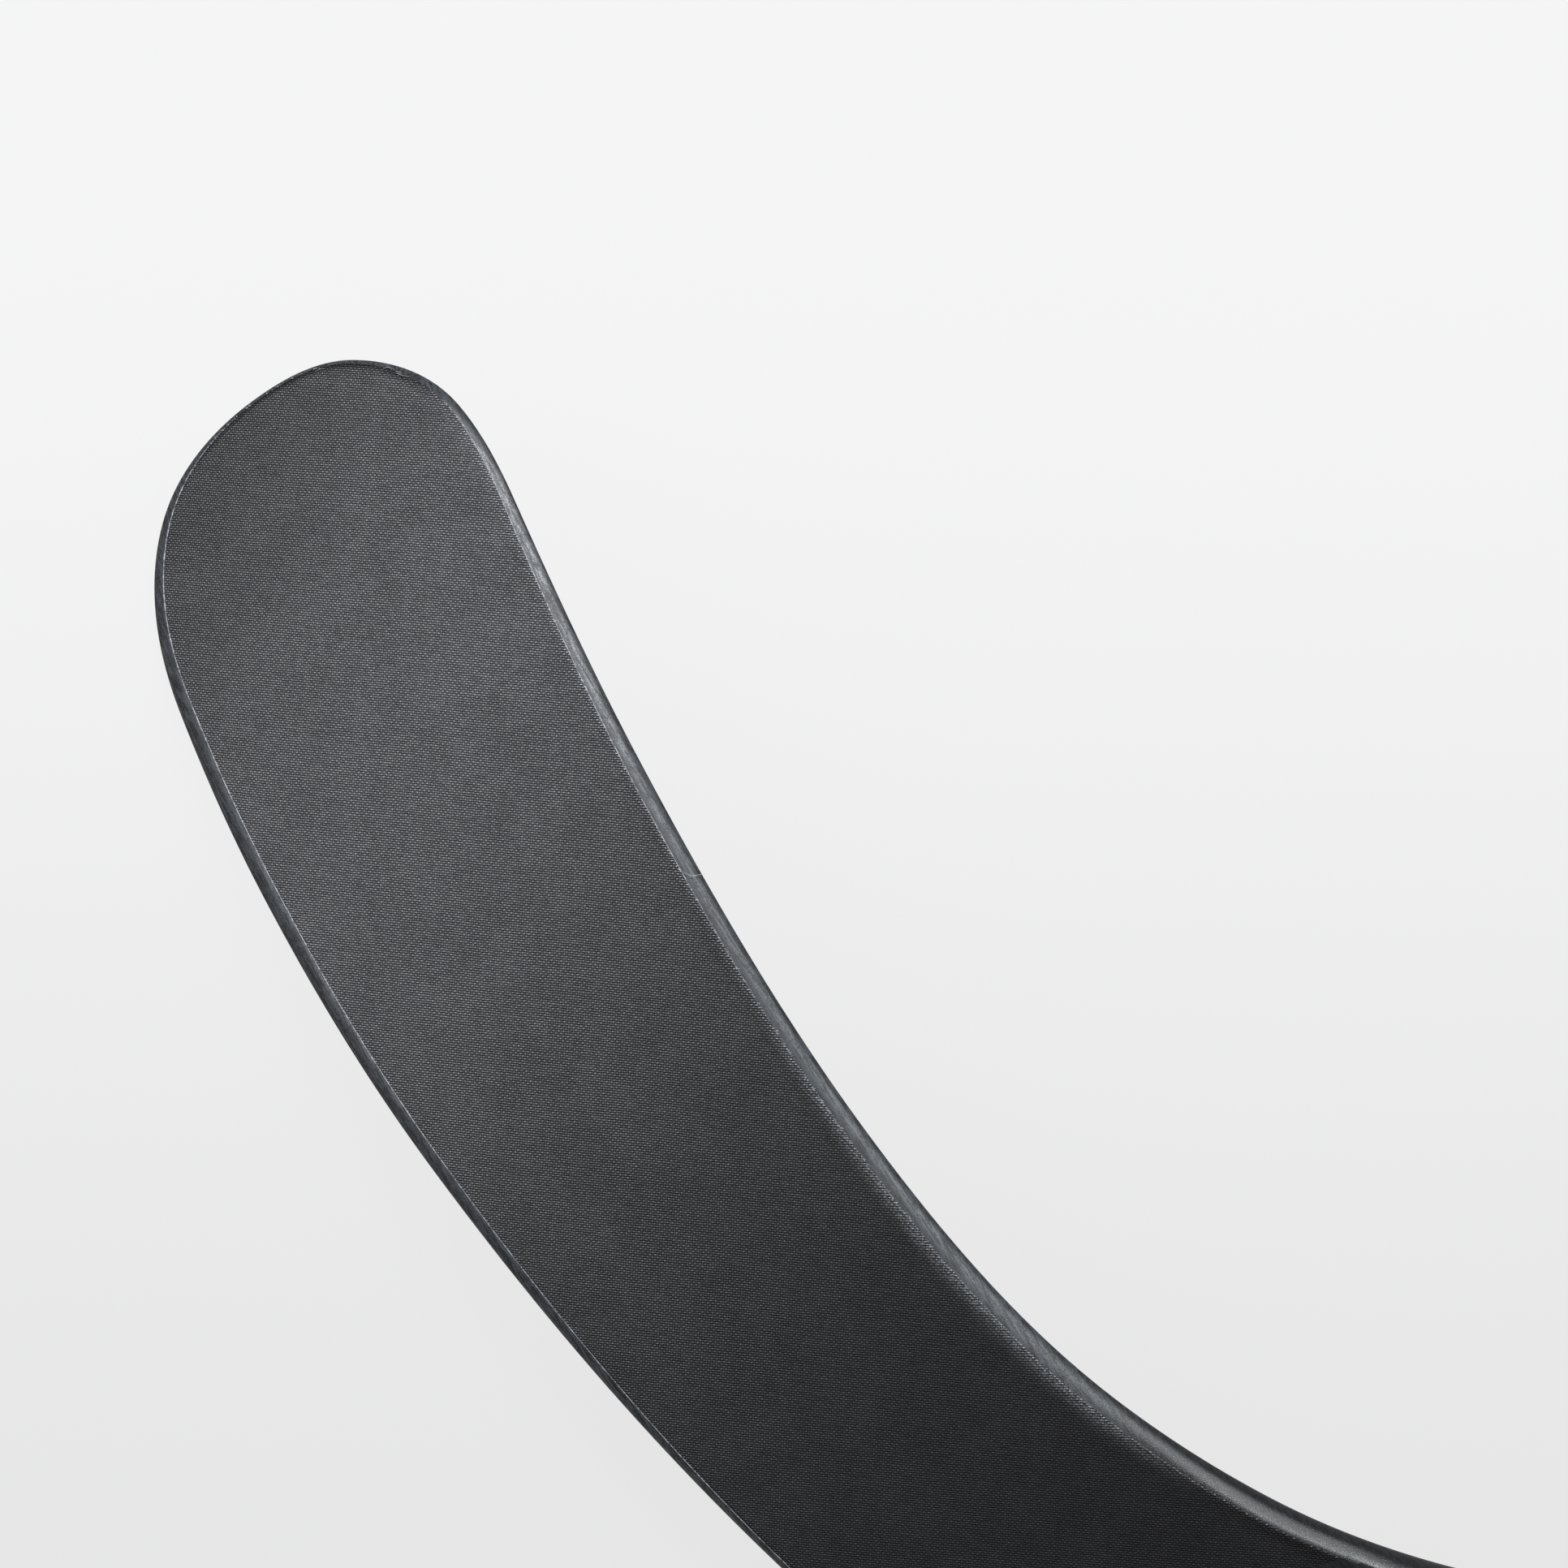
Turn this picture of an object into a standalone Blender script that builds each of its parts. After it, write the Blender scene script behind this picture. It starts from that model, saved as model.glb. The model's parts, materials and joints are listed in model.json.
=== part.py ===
"""One-piece composite ice-hockey stick, lying on a flat surface with the back of its blade up.

Everything is drawn first in the stick's own flat plan: X runs along the shaft toward the butt, Y points to
the toe side, and Z is the thickness. The plan is then bent into the blade's curve, and last the whole stick
is rolled about the shaft until the toe and the shaft's lower corner rest at the same height.
"""

import math

import bmesh
import bpy
import numpy as np
from mathutils import Matrix, Vector

MM = 0.001
GAP = 0.0003

# Shaft: a rounded box section, straight from the hosel to the butt.
SHAFT_WIDTH = 0.030
SHAFT_THICKNESS = 0.020
SHAFT_CORNER = 0.0045
SHAFT_WALL = 0.0008
SHAFT_START = 0.152
SHAFT_END = 1.494
PLUG_LENGTH = 0.060
CAP_THICKNESS = 0.006
CAP_STUB_LENGTH = 0.045
CAP_ROUNDING = 0.002

# Blade outline in the flat plan: x and y in millimetres, and the direction of travel in degrees.
# It runs from the shaft's lower edge round the heel, along the bottom, round the toe and back on top.
OUTLINE_KNOTS = (
    ("heel_start", 5.0, -15.0, 180.0),
    ("heel_end", -20.9, -5.5, 146.4),
    ("rocker_middle", -101.4, 57.1, 138.7),
    ("rocker_toe_side", -143.9, 99.4, 132.4),
    ("toe_lower_corner", -168.8, 129.1, 128.1),
    ("toe_tip", -182.8, 164.5, 88.1),
    ("toe_end", -169.6, 190.6, 43.8),
    ("toe_crown", -148.5, 202.6, 8.7),
    ("toe_upper_corner", -123.7, 197.7, -35.4),
    ("toe_shoulder", -108.8, 182.8, -52.0),
    ("top_toe_side", -74.2, 139.4, -49.9),
    ("top_middle", -18.1, 78.5, -43.1),
    ("top_heel_side", 34.1, 38.8, -28.5),
    ("throat", 66.7, 24.5, -18.9),
    ("shaft_blend", 140.5, 15.0, 0.0),
)
STEP_LENGTH = 0.009
STEP_TURN = math.radians(7.0)

# The line where the blade ends and the hosel begins, from the heel up to the throat.
JOINT_LOW_X = 0.030
JOINT_HIGH_X = 0.086

# Blade thickness falls evenly from the heel to the toe, measured along the blade's axis.
BLADE_AXIS = Vector((-math.sqrt(0.5), math.sqrt(0.5)))
TOE_DISTANCE = 0.247
HEEL_DISTANCE = -0.013
TOE_HALF_THICKNESS = 0.00215
HEEL_HALF_THICKNESS = 0.0041
SKIN = 0.0007

# Edge band: narrow along the bottom and round the toe, wide along the top near the throat.
RIM_LOW_WIDTH = 0.0025
RIM_TOE_WIDTH = 0.0027
RIM_TOP_WIDTH = 0.0040
RIM_THROAT_WIDTH = 0.0068
RIM_FLAT = 0.0006
RIM_ROUND_STEPS = 6

# Core: foam above and below a straight rib, with a softer insert at the toe.
SPAR_WIDTH = 0.006
SPAR_ANGLE = math.radians(137.0)
SPAR_POINT = Vector((-0.040, 0.052))
TOE_INSERT_DISTANCE = 0.196

# Hosel: the blade's flat section grows into the shaft's box section.
HOSEL_WALL = 0.0016
HOSEL_SECTIONS = 12
HOSEL_FIRST = 0.005

# Bend of the blade: its curvature per metre grows evenly toward the toe.
BEND_ANGLE = math.radians(154.3)
BEND_OFFSET = 0.05523
BEND_START = -0.150
BEND_FULL = -0.080
BEND_CURVATURE = 1.244
BEND_GROWTH = 6.225
BEND_TOTAL = 0.200
SLICE = 0.012

PLY_BLACK = (0.030, 0.031, 0.034, 1.0)
RIM_BLACK = (0.040, 0.043, 0.048, 1.0)
FOAM_GREY = (0.42, 0.43, 0.44, 1.0)
RUBBER_BLACK = (0.020, 0.020, 0.021, 1.0)


def material(name, colour, roughness, metallic=0.0):
    """A Principled material with one colour."""
    made = bpy.data.materials.new(name)
    made.use_nodes = True
    shader = made.node_tree.nodes["Principled BSDF"]
    shader.inputs["Base Color"].default_value = colour
    shader.inputs["Roughness"].default_value = roughness
    shader.inputs["Metallic"].default_value = metallic
    made.diffuse_color = colour
    return made


def clear_scene():
    """Removes whatever the scene starts with."""
    for old in list(bpy.data.objects):
        bpy.data.objects.remove(old, do_unlink=True)


# ---------------------------------------------------------------- outline


def bezier(start, start_angle, end, end_angle, count):
    """Points of a cubic curve between two knots with given directions, without the last one."""
    chord = (end - start).length
    reach = chord / 3.0 / math.cos(abs(end_angle - start_angle) / 4.0) ** 2
    first = start + reach * Vector((math.cos(start_angle), math.sin(start_angle)))
    second = end - reach * Vector((math.cos(end_angle), math.sin(end_angle)))
    points = []
    for step in range(count):
        t = step / count
        u = 1.0 - t
        points.append(u**3 * start + 3 * u * u * t * first + 3 * u * t * t * second + t**3 * end)
    return points


def outline_points():
    """The blade's outline as a polyline from the heel round the toe to the shaft."""
    points = []
    for (_, x0, y0, a0), (_, x1, y1, a1) in zip(OUTLINE_KNOTS, OUTLINE_KNOTS[1:]):
        start = Vector((x0, y0)) * MM
        end = Vector((x1, y1)) * MM
        turn = math.radians(a1 - a0)
        count = max(2, math.ceil((end - start).length / STEP_LENGTH), math.ceil(abs(turn) / STEP_TURN))
        points += bezier(start, math.radians(a0), end, math.radians(a1), count)
    points.append(Vector(OUTLINE_KNOTS[-1][1:3]) * MM)
    return points


def outline_at(points, x, top):
    """The outline's point with this x, on its top or its bottom run."""
    runs = zip(points, points[1:])
    if top:
        runs = reversed(list(runs))
    for a, b in runs:
        if a.x != b.x and min(a.x, b.x) <= x <= max(a.x, b.x):
            return a.lerp(b, (x - a.x) / (b.x - a.x))
    return points[-1] if top else points[0]


def underside_at(points, x):
    """The outline's lower point with this x; past the heel it is the shaft's straight lower side."""
    if x > points[0].x:
        return Vector((x, points[0].y))
    return outline_at(points, x, top=False)


def tangents(points):
    """Unit direction of travel at each point of a polyline."""
    result = []
    for i in range(len(points)):
        ahead = points[min(i + 1, len(points) - 1)]
        behind = points[max(i - 1, 0)]
        result.append((ahead - behind).normalized())
    return result


def inward(direction):
    """The outline is walked clockwise, so its inner side is on the right."""
    return Vector((direction.y, -direction.x))


def half_thickness(point):
    """Half the blade's thickness at a point of the flat plan."""
    along = Vector((point[0], point[1])).dot(BLADE_AXIS)
    share = (TOE_DISTANCE - along) / (TOE_DISTANCE - HEEL_DISTANCE)
    return TOE_HALF_THICKNESS + share * (HEEL_HALF_THICKNESS - TOE_HALF_THICKNESS)


def smooth(share):
    """Eases a share from 0 to 1."""
    share = min(1.0, max(0.0, share))
    return share * share * (3.0 - 2.0 * share)


def blade_outline():
    """The part of the outline that belongs to the blade, from the joint's low end to its high end."""
    whole = outline_points()
    low = underside_at(whole, JOINT_LOW_X)
    high = outline_at(whole, JOINT_HIGH_X, top=True)
    middle = []
    for point in whole:
        across = (high - low).x * (point - low).y - (high - low).y * (point - low).x
        if across > 1e-4 * (high - low).length:
            middle.append(point)
    return [low] + middle + [high]


def rim_widths(points):
    """Width of the edge band at each outline point."""
    toe = max(range(len(points)), key=lambda i: points[i].dot(BLADE_AXIS))
    crown = max(range(len(points)), key=lambda i: points[i].y)
    widths = []
    for i, point in enumerate(points):
        if i <= toe:
            width = RIM_LOW_WIDTH
        elif i <= crown:
            width = RIM_LOW_WIDTH + smooth((i - toe) / (crown - toe)) * (RIM_TOE_WIDTH - RIM_LOW_WIDTH)
        else:
            down = TOE_DISTANCE - point.dot(BLADE_AXIS)
            width = RIM_TOE_WIDTH + smooth((down - 0.02) / 0.08) * (RIM_TOP_WIDTH - RIM_TOE_WIDTH)
            width += smooth((down - 0.13) / 0.14) * (RIM_THROAT_WIDTH - RIM_TOP_WIDTH)
        widths.append(width)
    return widths


def meet(point, direction, low, high):
    """Where a line through point meets the joint line."""
    along = high - low
    offset = low - point
    share = (offset.x * along.y - offset.y * along.x) / (direction.x * along.y - direction.y * along.x)
    return point + share * direction


def inset_outline(points, widths, extra, back):
    """The blade's outline moved inward by the band width and extra, and closed at the joint line less back."""
    low, high = points[0], points[-1]
    shift = inward((low - high).normalized()) * back
    low = low + shift
    high = high + shift
    travel = tangents(points)
    moved = []
    for point, direction, width in zip(points, travel, widths):
        moved.append(point + inward(direction) * (width + extra))
    inner = []
    for point in moved:
        across = (high - low).x * (point - low).y - (high - low).y * (point - low).x
        if across > 0.0008 * (high - low).length:
            inner.append(point)
    start = meet(inner[0], inner[1] - inner[0], low, high)
    end = meet(inner[-1], inner[-1] - inner[-2], low, high)
    return [start] + inner + [end]


# ---------------------------------------------------------------- bending


def bend_table():
    """Turn, run and drop of the bent blade against distance from where the bend starts."""
    step = 0.0005
    distance = np.arange(0.0, BEND_TOTAL - BEND_START + 0.05, step)
    ramp = BEND_FULL - BEND_START
    curvature = np.where(
        distance < ramp,
        BEND_CURVATURE * distance / ramp,
        BEND_CURVATURE + BEND_GROWTH * (distance - ramp),
    )
    turn = np.concatenate(([0.0], np.cumsum((curvature[1:] + curvature[:-1]) / 2 * step)))
    cosine, sine = np.cos(turn), np.sin(turn)
    run = np.concatenate(([0.0], np.cumsum((cosine[1:] + cosine[:-1]) / 2 * step)))
    drop = np.concatenate(([0.0], np.cumsum((sine[1:] + sine[:-1]) / 2 * step)))
    return distance, turn, run, drop


BEND = bend_table()
BEND_AXIS = Vector((math.cos(BEND_ANGLE), math.sin(BEND_ANGLE), 0.0))


def bend_distance(point):
    """How far a flat point lies along the bend, from where the bend starts."""
    return point.dot(BEND_AXIS) - BEND_OFFSET - BEND_START


def bent(point):
    """Moves a flat point onto the bent blade."""
    reach = bend_distance(point)
    if reach <= 0.0:
        return point.copy()
    distance, turn, run, drop = BEND
    angle = float(np.interp(reach, distance, turn))
    start = point - BEND_AXIS * reach
    start.z = 0.0
    middle = start + BEND_AXIS * float(np.interp(reach, distance, run))
    middle.z -= float(np.interp(reach, distance, drop))
    normal = BEND_AXIS * math.sin(angle) + Vector((0.0, 0.0, math.cos(angle)))
    return middle + normal * point.z


def slice_and_bend(mesh):
    """Cuts a flat body along the bend's straight lines, then bends it."""
    reaches = [bend_distance(vertex.co) for vertex in mesh.verts]
    level = max(min(reaches), 0.0) + SLICE * 0.5
    while level < max(reaches) - SLICE * 0.2:
        place = BEND_AXIS * (level + BEND_OFFSET + BEND_START)
        everything = mesh.verts[:] + mesh.edges[:] + mesh.faces[:]
        bmesh.ops.bisect_plane(mesh, geom=everything, dist=1e-6, plane_co=place, plane_no=BEND_AXIS)
        level += SLICE
    for vertex in mesh.verts:
        vertex.co = bent(vertex.co)


# ---------------------------------------------------------------- bodies


def finish(name, mesh, paint, parent, bend=True):
    """Turns a flat body into a named object."""
    bmesh.ops.recalc_face_normals(mesh, faces=mesh.faces[:])
    if bend:
        slice_and_bend(mesh)
    bmesh.ops.triangulate(mesh, faces=mesh.faces[:])
    data = bpy.data.meshes.new(name)
    mesh.to_mesh(data)
    mesh.free()
    data.materials.append(paint)
    data.shade_smooth()
    data.set_sharp_from_angle(angle=math.radians(35.0))
    made = bpy.data.objects.new(name, data)
    bpy.context.scene.collection.objects.link(made)
    made.parent = parent
    return made


def loft(rings, closed_path=False, close_ends=True):
    """A body through equal rings of 3D points."""
    mesh = bmesh.new()
    made = [[mesh.verts.new(point) for point in ring] for ring in rings]
    pairs = list(zip(made, made[1:]))
    if closed_path:
        pairs.append((made[-1], made[0]))
    for first, second in pairs:
        for i in range(len(first)):
            j = (i + 1) % len(first)
            mesh.faces.new((first[i], first[j], second[j], second[i]))
    if close_ends and not closed_path:
        mesh.faces.new(made[0])
        mesh.faces.new(reversed(made[-1]))
    return mesh


def plate(outline, top, bottom):
    """A flat body over a closed outline, between two heights that depend on the place."""
    return loft([[Vector((p.x, p.y, level(p))) for p in outline] for level in (bottom, top)])


def trim(mesh, place, away):
    """Cuts off everything on the side that away points to, and closes the cut."""
    everything = mesh.verts[:] + mesh.edges[:] + mesh.faces[:]
    cut = bmesh.ops.bisect_plane(
        mesh,
        geom=everything,
        dist=1e-6,
        plane_co=(place.x, place.y, 0.0),
        plane_no=(away.x, away.y, 0.0),
        clear_outer=True,
    )
    edges = [item for item in cut["geom_cut"] if isinstance(item, bmesh.types.BMEdge)]
    bmesh.ops.edgeloop_fill(mesh, edges=edges)
    return mesh


def rounded_box(half_long, half_thick, corner, steps=4):
    """Points of a rounded rectangle, as pairs along its long and its thin direction."""
    points = []
    for side_long, side_thin, first in ((1, 1, 0), (-1, 1, 90), (-1, -1, 180), (1, -1, 270)):
        for step in range(steps + 1):
            angle = math.radians(first + 90 * step / steps)
            along = side_long * (half_long - corner) + corner * math.cos(angle)
            thin = side_thin * (half_thick - corner) + corner * math.sin(angle)
            points.append((along, thin))
    return points


def shaft_ring(x, inset=0.0):
    """The shaft's section at x, made smaller all round by inset."""
    section = rounded_box(SHAFT_WIDTH / 2 - inset, SHAFT_THICKNESS / 2 - inset, SHAFT_CORNER - inset)
    return [Vector((x, along, thin)) for along, thin in section]


def tube(start, end, inset, wall):
    """A length of box tube."""
    return loft(
        [
            shaft_ring(start, inset),
            shaft_ring(end, inset),
            shaft_ring(end, inset + wall),
            shaft_ring(start, inset + wall),
        ],
        closed_path=True,
    )


def hosel_sections(inset):
    """Rings of the hosel, from the blade's joint to the shaft, made smaller all round by inset."""
    whole = outline_points()
    last_x = SHAFT_START - GAP
    rings = []
    for index in range(HOSEL_SECTIONS + 1):
        share = HOSEL_FIRST + (1.0 - HOSEL_FIRST) * index / HOSEL_SECTIONS
        low_x = JOINT_LOW_X + (last_x - JOINT_LOW_X) * share**1.15
        high_x = JOINT_HIGH_X + (last_x - JOINT_HIGH_X) * share
        low = underside_at(whole, low_x)
        high = outline_at(whole, high_x, top=True)
        if high_x > whole[-1].x:
            high = Vector((high_x, SHAFT_WIDTH / 2))
        centre = (low + high) / 2
        across = (high - low).normalized()
        grow = smooth(share)
        thick_low = half_thickness(low) * (1 - grow) + SHAFT_THICKNESS / 2 * grow
        thick_high = half_thickness(high) * (1 - grow) + SHAFT_THICKNESS / 2 * grow
        thick = (thick_low + thick_high) / 2
        corner = thick * (1 - grow) + SHAFT_CORNER * grow
        corner = min(corner, thick)
        ring = []
        for along, thin in rounded_box(
            (high - low).length / 2 - inset, thick - inset, max(corner - inset, 0.0005)
        ):
            place = centre + across * along
            ring.append(Vector((place.x, place.y, thin)))
        rings.append(ring)
    return rings


def rim_body(outline, outline_widths):
    """The edge band: rounded outside, upright inside, as thick as the blade."""
    low, high = outline[0], outline[-1]
    points = [low + (low - outline[1]) * 0.9] + outline + [high + (high - outline[-2]) * 0.9]
    widths = outline_widths[:1] + outline_widths + outline_widths[-1:]
    travel = tangents(points)
    rings = []
    for point, direction, width in zip(points, travel, widths):
        side = inward(direction)
        thick = half_thickness(point)
        depth = min(thick, width - RIM_FLAT)
        section = []
        for step in range(RIM_ROUND_STEPS + 1):
            angle = math.radians(-90 + 180 * step / RIM_ROUND_STEPS)
            section.append((depth * (1 - math.cos(angle)), thick * math.sin(angle)))
        section.append((width, thick))
        section.append((width, -thick))
        ring = []
        for inset, height in section:
            place = point + side * inset
            ring.append(Vector((place.x, place.y, height)))
        rings.append(ring)
    mesh = loft(rings)
    away = inward((high - low).normalized())
    return trim(mesh, (low + high) / 2 - away * GAP / 2, away)


def core_piece(ring, cuts):
    """A block of the core, trimmed by the given cuts."""
    inner = SKIN + GAP
    block = plate(ring, lambda p: half_thickness(p) - inner, lambda p: inner - half_thickness(p))
    for place, away in cuts:
        trim(block, place, away)
    return block


def build_blade(parent, ply, rim, foam, rib):
    """The blade's faces, edge band and core."""
    outline = blade_outline()
    widths = rim_widths(outline)
    finish("blade_edge_band", rim_body(outline, widths), rim, parent)

    face = inset_outline(outline, widths, GAP, GAP / 2)
    back = plate(face, half_thickness, lambda p: half_thickness(p) - SKIN)
    finish("blade_face_back", back, ply, parent)
    front = plate(face, lambda p: SKIN - half_thickness(p), lambda p: -half_thickness(p))
    finish("blade_face_front", front, ply, parent)

    along = Vector((math.cos(SPAR_ANGLE), math.sin(SPAR_ANGLE)))
    up = Vector((-along.y, along.x)) * -1.0
    toe_cut = BLADE_AXIS * TOE_INSERT_DISTANCE
    body_side = (toe_cut - BLADE_AXIS * GAP / 2, BLADE_AXIS)
    toe_side = (toe_cut + BLADE_AXIS * GAP / 2, -BLADE_AXIS)
    half = SPAR_WIDTH / 2
    pieces = {
        "core_toe_insert": (foam, [toe_side]),
        "core_foam_upper": (foam, [body_side, (SPAR_POINT + up * (half + GAP), -up)]),
        "core_foam_lower": (foam, [body_side, (SPAR_POINT - up * (half + GAP), up)]),
        "core_rib": (rib, [body_side, (SPAR_POINT + up * half, up), (SPAR_POINT - up * half, -up)]),
    }
    for name, (paint, cuts) in pieces.items():
        finish(name, core_piece(face, cuts), paint, parent)


def build_hosel(parent, rim, foam):
    """The hosel's shell and its filler."""
    outer = hosel_sections(0.0)
    inner = hosel_sections(HOSEL_WALL)
    shell = loft(outer + inner[::-1], closed_path=True)
    finish("hosel_shell", shell, rim, parent)
    filler = loft(hosel_sections(HOSEL_WALL + GAP)[:-1])
    finish("hosel_filler", filler, foam, parent)


def build_shaft(parent, ply, rib, foam, rubber):
    """The shaft's two layers, its plug and the cap on the butt."""
    finish("shaft_outer_ply", tube(SHAFT_START, SHAFT_END, 0.0, SHAFT_WALL), ply, parent, bend=False)
    lining_inset = SHAFT_WALL + GAP
    lining = tube(SHAFT_START, SHAFT_END, lining_inset, SHAFT_WALL)
    finish("shaft_inner_ply", lining, rib, parent, bend=False)

    hollow = lining_inset + SHAFT_WALL + GAP
    plug = loft([shaft_ring(SHAFT_START, hollow), shaft_ring(SHAFT_START + PLUG_LENGTH, hollow)])
    finish("shaft_foam_plug", plug, foam, parent, bend=False)

    cap_start = SHAFT_END + GAP
    cap_end = cap_start + CAP_THICKNESS
    rings = [
        shaft_ring(SHAFT_END - CAP_STUB_LENGTH, hollow + 0.0005),
        shaft_ring(SHAFT_END - CAP_STUB_LENGTH + 0.001, hollow),
        shaft_ring(cap_start, hollow),
        shaft_ring(cap_start, 0.0),
    ]
    for step in range(5):
        angle = math.radians(90 * step / 4)
        x = cap_end - CAP_ROUNDING * (1 - math.sin(angle))
        rings.append(shaft_ring(x, CAP_ROUNDING * (1 - math.cos(angle))))
    finish("butt_cap", loft(rings), rubber, parent, bend=False)


# ---------------------------------------------------------------- resting place


def lowest(points, roll, wanted):
    """The lowest height of the wanted points once the stick is rolled about its shaft."""
    heights = points[wanted, 1] * math.sin(roll) + points[wanted, 2] * math.cos(roll)
    return float(heights.min())


def rest(root):
    """Rolls and moves the stick so that its toe and its shaft lie at height 0, centred on the origin."""
    points = np.array([vertex.co for child in root.children for vertex in child.data.vertices])
    toe_end = points[:, 0] < OUTLINE_KNOTS[1][1] * MM
    low, high = 0.0, math.radians(30.0)
    for _ in range(40):
        roll = (low + high) / 2
        if lowest(points, roll, toe_end) < lowest(points, roll, ~toe_end):
            low = roll
        else:
            high = roll
    turned = points @ np.array(Matrix.Rotation(roll, 3, "X")).T
    least, most = turned.min(axis=0), turned.max(axis=0)
    root.rotation_euler = (roll, 0.0, 0.0)
    root.location = (-(least[0] + most[0]) / 2, -(least[1] + most[1]) / 2, -least[2])


def main():
    clear_scene()
    root = bpy.data.objects.new("stick_root", None)
    bpy.context.scene.collection.objects.link(root)

    ply = material("woven_ply", PLY_BLACK, 0.42)
    rim = material("moulded_rim", RIM_BLACK, 0.34)
    rib = material("structural_laminate", PLY_BLACK, 0.50)
    foam = material("core_foam", FOAM_GREY, 0.90)
    rubber = material("cap_rubber", RUBBER_BLACK, 0.70)

    build_blade(root, ply, rim, foam, rib)
    build_hosel(root, rim, foam)
    build_shaft(root, ply, rib, foam, rubber)
    rest(root)


main()
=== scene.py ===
"""Looks of a one-piece composite hockey stick, lying with the back of its curved blade up.

Every outer piece is drawn in the stick's flat plan, where X runs along the shaft toward the butt, Y points
to the toe side and Z is the thickness. It is then bent into the blade's curve and rolled into the place
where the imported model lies. Lengths are in metres, but the outline's knots, the loose fibres, the yarns and
the zones of the materials are in millimetres of the flat plan.
"""

import json
import math
import random

import bmesh
import bpy
import numpy as np
from mathutils import Matrix, Vector, noise


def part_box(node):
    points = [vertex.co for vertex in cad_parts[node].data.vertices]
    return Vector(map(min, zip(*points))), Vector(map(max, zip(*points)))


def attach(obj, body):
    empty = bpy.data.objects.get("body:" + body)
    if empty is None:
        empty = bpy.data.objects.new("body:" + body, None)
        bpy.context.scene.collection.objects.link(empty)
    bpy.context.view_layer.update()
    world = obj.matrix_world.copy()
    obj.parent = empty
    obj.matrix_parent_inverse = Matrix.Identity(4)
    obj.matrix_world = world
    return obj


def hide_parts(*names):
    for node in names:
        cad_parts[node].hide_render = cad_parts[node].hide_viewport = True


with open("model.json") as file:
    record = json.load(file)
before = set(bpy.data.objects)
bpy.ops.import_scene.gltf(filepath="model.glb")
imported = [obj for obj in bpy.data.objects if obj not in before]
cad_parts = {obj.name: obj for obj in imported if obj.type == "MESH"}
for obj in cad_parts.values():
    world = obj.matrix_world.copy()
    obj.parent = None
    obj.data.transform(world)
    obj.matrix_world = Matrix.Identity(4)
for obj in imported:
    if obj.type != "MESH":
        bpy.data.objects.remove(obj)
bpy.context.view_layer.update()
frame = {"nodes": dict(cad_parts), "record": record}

MM = 0.001

# ---------------------------------------------------------------- the stick's dimensions

SHAFT_WIDTH = 0.030
SHAFT_THICKNESS = 0.020
SHAFT_CORNER = 0.0045
SHAFT_START = 0.152
SHAFT_END = 1.494
SHAFT_PIECES = 24
CORNER_STEPS = 8

# Butt cap: a neck inside the shaft, a small bevel, a rounded rim and a shallow dish.
CAP_GAP = 0.0003
CAP_THICKNESS = 0.006
CAP_NECK_LENGTH = 0.002
CAP_NECK_INSET = 0.0016
CAP_BEVEL = 0.0003
CAP_ROUNDING = 0.002
CAP_ROUND_STEPS = 8
CAP_DISH_RIM = 0.0032
CAP_DISH_INSET = 0.0038
CAP_DISH_DEPTH = 0.0005

# Each knot: name, place in the plan, direction in degrees, width of the edge band, width of its rounding.
# The places and directions are the rounded result of a least-squares fit. The two widths were worked out
# from measured widths, and partly adjusted afterwards.
OUTLINE_KNOTS = (
    ("heel_start", 5.0, -15.0, 180.0, 1.6, 2.6),
    ("heel_end", -20.9, -5.5, 146.4, 1.7, 2.7),
    ("rocker_middle", -101.4, 57.1, 138.7, 3.1, 3.6),
    ("rocker_toe_side", -143.9, 99.4, 132.4, 3.75, 4.1),
    ("toe_lower_corner", -168.8, 129.1, 128.1, 3.7, 4.0),
    ("toe_tip", -182.8, 164.5, 88.1, 2.7, 3.1),
    ("toe_end", -169.6, 190.6, 43.8, 1.1, 2.4),
    ("toe_crown", -148.5, 202.6, 8.7, 0.8, 2.4),
    ("toe_upper_corner", -123.7, 197.7, -35.4, 1.2, 4.2),
    ("toe_shoulder", -108.8, 182.8, -52.0, 1.7, 5.0),
    ("top_toe_side", -74.2, 139.4, -49.9, 2.3, 3.8),
    ("top_middle", -18.1, 78.5, -43.1, 2.8, 6.2),
    ("top_heel_side", 34.1, 38.8, -28.5, 3.2, 6.8),
    ("throat", 66.7, 24.5, -18.9, 3.4, 5.0),
    ("shaft_blend", 140.5, 15.0, 0.0, 3.5, 4.5),
)
STATION_STEP = 0.0016
JOINT_LOW_X = 0.030
JOINT_HIGH_X = 0.086
BAND_JOINT_MARGIN = 0.0002
CLOTH_JOINT_MARGIN = 0.0003
BORDER_JOINT_MARGIN = 0.001

BLADE_AXIS = Vector((-math.sqrt(0.5), math.sqrt(0.5)))
TOE_DISTANCE = 0.247
HEEL_DISTANCE = -0.013
TOE_HALF_THICKNESS = 0.00215
HEEL_HALF_THICKNESS = 0.0041
SKIN = 0.0007

BEND_ANGLE = math.radians(154.3)
BEND_OFFSET = 0.05523
BEND_START = -0.150
BEND_FULL = -0.080
BEND_CURVATURE = 1.244
BEND_GROWTH = 6.225
BEND_TOTAL = 0.200
SLICE = 0.004

# Edge: the power of its rounding, 2 for an ellipse, and the stretch of the top where it turns into one.
EDGE_POWER = 1.6
ELLIPSE_POWER = 2.0
ELLIPSE_FIRST_X = 0.02
ELLIPSE_FADE = 0.05
EDGE_SMOOTHING = 7

# The bottom edge stands out a little past the outline, but not near the crown or where the hosel begins.
BOTTOM_OUTSET = 0.0003
OUTSET_LAST_Y = 0.197
OUTSET_FADE = 0.03
HEEL_OUTSET_FADE = 0.015

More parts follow.
